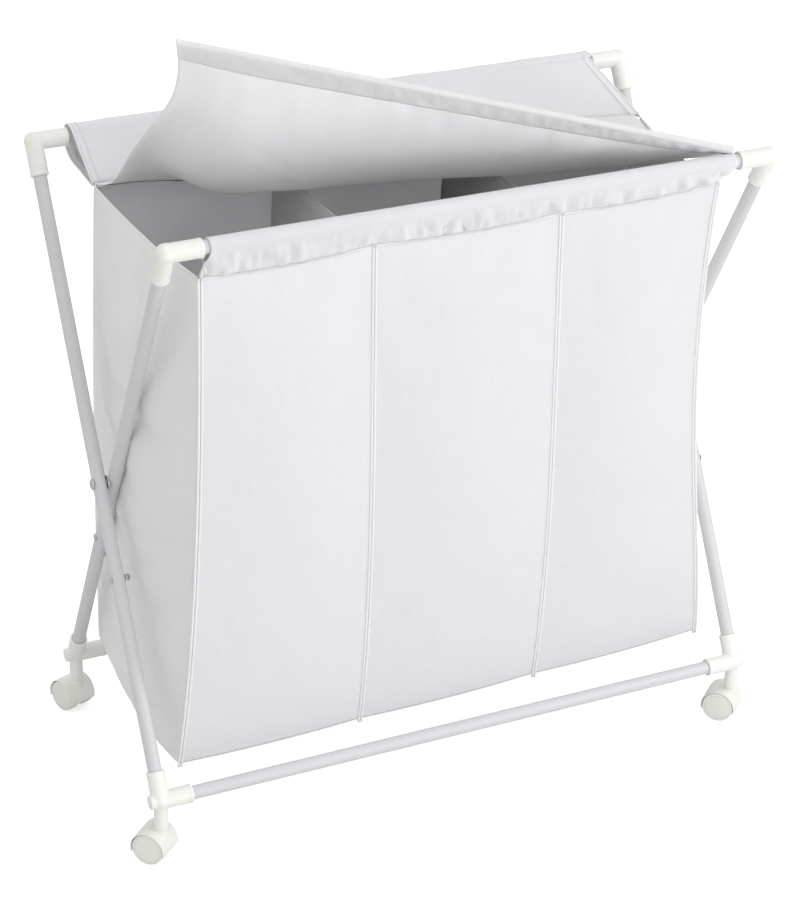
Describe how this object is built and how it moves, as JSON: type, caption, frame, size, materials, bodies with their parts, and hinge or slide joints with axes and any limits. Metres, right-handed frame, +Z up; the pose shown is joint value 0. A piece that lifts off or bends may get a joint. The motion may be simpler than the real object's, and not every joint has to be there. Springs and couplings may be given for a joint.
{
  "type": "laundry sorter on wheels",
  "caption": "Folding X-frame laundry sorter: white tube frames on swivel casters carry a divided fabric bag with a cloth lid.",
  "frame": {"origin": "bottom centre of the whole object, on the floor", "axes": "+Z up, -Y the front panel side, +X along the rails to the right seen from the front"},
  "size_m": [0.8105, 0.4045, 0.9474],
  "materials": {
    "tube_powder_coat": "white powder coat, satin",
    "fitting_plastic": "warm white moulded plastic, semi-gloss",
    "caster_hood": "warm white moulded plastic, semi-gloss",
    "caster_wheel": "off-white moulded nylon",
    "zinc_steel": "zinc plated steel",
    "raw_steel": "plain drawn steel tube",
    "panel_cloth": "white woven polyester, cool white",
    "inner_cloth": "white woven polyester, warm in its own shade",
    "casing_cloth": "white woven polyester, doubled and gathered",
    "lid_cloth": "white woven polyester",
    "binding_tape": "bright white folded binding",
    "rod_plastic": "white plastic rod"
  },
  "bodies": {
    "outer_frame": {"outer_bottom_rail": "tube_powder_coat", "outer_elbow_left": "fitting_plastic", "outer_elbow_right": "fitting_plastic", "outer_leg_bolts": "zinc_steel", "outer_leg_sleeves": "raw_steel", "outer_lower_leg_left": "tube_powder_coat", "outer_lower_leg_right": "tube_powder_coat", "outer_tee_left": "fitting_plastic", "outer_tee_right": "fitting_plastic", "outer_top_rail": "tube_powder_coat", "outer_upper_leg_left": "tube_powder_coat", "outer_upper_leg_right": "tube_powder_coat", "pivot_bolts": "zinc_steel", "pivot_washers": "zinc_steel"},
    "inner_frame": {"inner_bottom_rail": "tube_powder_coat", "inner_elbow_left": "fitting_plastic", "inner_elbow_right": "fitting_plastic", "inner_leg_bolts": "zinc_steel", "inner_leg_sleeves": "raw_steel", "inner_lower_leg_left": "tube_powder_coat", "inner_lower_leg_right": "tube_powder_coat", "inner_tee_left": "fitting_plastic", "inner_tee_right": "fitting_plastic", "inner_top_rail": "tube_powder_coat", "inner_upper_leg_left": "tube_powder_coat", "inner_upper_leg_right": "tube_powder_coat"},
    "bag_front": {"front_panel": "panel_cloth", "front_casing": "casing_cloth", "front_piping": "binding_tape"},
    "bag_back": {"back_panel": "panel_cloth", "back_casing": "casing_cloth", "side_panel_left": "inner_cloth", "side_panel_right": "inner_cloth", "divider_left": "inner_cloth", "divider_right": "inner_cloth", "bottom_panel": "inner_cloth"},
    "lid_seam": {"lid_binding": "binding_tape"},
    "lid": {"lid_cloth": "lid_cloth"},
    "lid_hem": {"lid_rod": "rod_plastic"},
    "front_left_caster": {"front_left_caster_hood": "caster_hood", "front_left_caster_stem": "zinc_steel", "front_left_caster_axle": "zinc_steel"},
    "front_left_wheels": {"front_left_caster_wheels": "caster_wheel"},
    "front_right_caster": {"front_right_caster_hood": "caster_hood", "front_right_caster_stem": "zinc_steel", "front_right_caster_axle": "zinc_steel"},
    "front_right_wheels": {"front_right_caster_wheels": "caster_wheel"},
    "back_left_caster": {"back_left_caster_hood": "caster_hood", "back_left_caster_stem": "zinc_steel", "back_left_caster_axle": "zinc_steel"},
    "back_left_wheels": {"back_left_caster_wheels": "caster_wheel"},
    "back_right_caster": {"back_right_caster_hood": "caster_hood", "back_right_caster_stem": "zinc_steel", "back_right_caster_axle": "zinc_steel"},
    "back_right_wheels": {"back_right_caster_wheels": "caster_wheel"}
  },
  "joints": [
    {"name": "fold", "type": "hinge", "parent": "outer_frame", "child": "inner_frame", "pos_m": [0.0067, -0.0063, 0.40084], "axis": [-1, 0, 0], "range_deg": [0, 36], "deforming": ["side_panel_left", "side_panel_right", "divider_left", "divider_right", "bottom_panel"]},
    {"name": "front_panel_hang", "type": "hinge", "parent": "inner_frame", "child": "bag_front", "pos_m": [0.0067, -0.1913, 0.747], "axis": [-1, 0, 0], "range_deg": [-17, 0]},
    {"name": "back_panel_hang", "type": "hinge", "parent": "outer_frame", "child": "bag_back", "pos_m": [0.0067, 0.1787, 0.747], "axis": [-1, 0, 0], "range_deg": [0, 20]},
    {"name": "lid_seam_lift", "type": "hinge", "parent": "bag_back", "child": "lid_seam", "pos_m": [0.0067, 0.1207, 0.706], "axis": [-1, 0, 0], "range_deg": [0, 48]},
    {"name": "lid_flip", "type": "hinge", "parent": "lid_seam", "child": "lid", "pos_m": [0.0067, 0.1207, 0.706], "axis": [-1, 0, 0], "range_deg": [0, 60]},
    {"name": "lid_corner", "type": "hinge", "parent": "lid", "child": "lid_hem", "pos_m": [0.3147, -0.1943, 0.763], "axis": [0, -0.9401, 0.3409], "range_deg": [0, 12], "deforming": ["lid_cloth"]},
    {"name": "front_left_swivel", "type": "hinge", "parent": "outer_frame", "child": "front_left_caster", "pos_m": [-0.3703, -0.1783, 0.044], "axis": [0, 0, 1], "continuous": true},
    {"name": "front_left_roll", "type": "hinge", "parent": "front_left_caster", "child": "front_left_wheels", "pos_m": [-0.37699, -0.17087, 0.0193], "axis": [-0.7431, -0.6691, 0], "continuous": true},
    {"name": "front_right_swivel", "type": "hinge", "parent": "outer_frame", "child": "front_right_caster", "pos_m": [0.3837, -0.1783, 0.044], "axis": [0, 0, 1], "continuous": true},
    {"name": "front_right_roll", "type": "hinge", "parent": "front_right_caster", "child": "front_right_wheels", "pos_m": [0.37701, -0.17087, 0.0193], "axis": [-0.7431, -0.6691, 0], "continuous": true},
    {"name": "back_left_swivel", "type": "hinge", "parent": "inner_frame", "child": "back_left_caster", "pos_m": [-0.3523, 0.1657, 0.044], "axis": [0, 0, 1], "continuous": true},
    {"name": "back_left_roll", "type": "hinge", "parent": "back_left_caster", "child": "back_left_wheels", "pos_m": [-0.35572, 0.1751, 0.0193], "axis": [-0.9397, -0.342, 0], "continuous": true},
    {"name": "back_right_swivel", "type": "hinge", "parent": "inner_frame", "child": "back_right_caster", "pos_m": [0.3657, 0.1657, 0.044], "axis": [0, 0, 1], "continuous": true},
    {"name": "back_right_roll", "type": "hinge", "parent": "back_right_caster", "child": "back_right_wheels", "pos_m": [0.3604, 0.17418, 0.0193], "axis": [-0.848, -0.5299, 0], "continuous": true}
  ],
  "couplings": [
    {"joint": "front_panel_hang", "follows": "fold", "ratio": -0.417},
    {"joint": "back_panel_hang", "follows": "fold", "ratio": 0.5},
    {"joint": "lid_seam_lift", "follows": "fold", "ratio": 1.28}
  ]
}
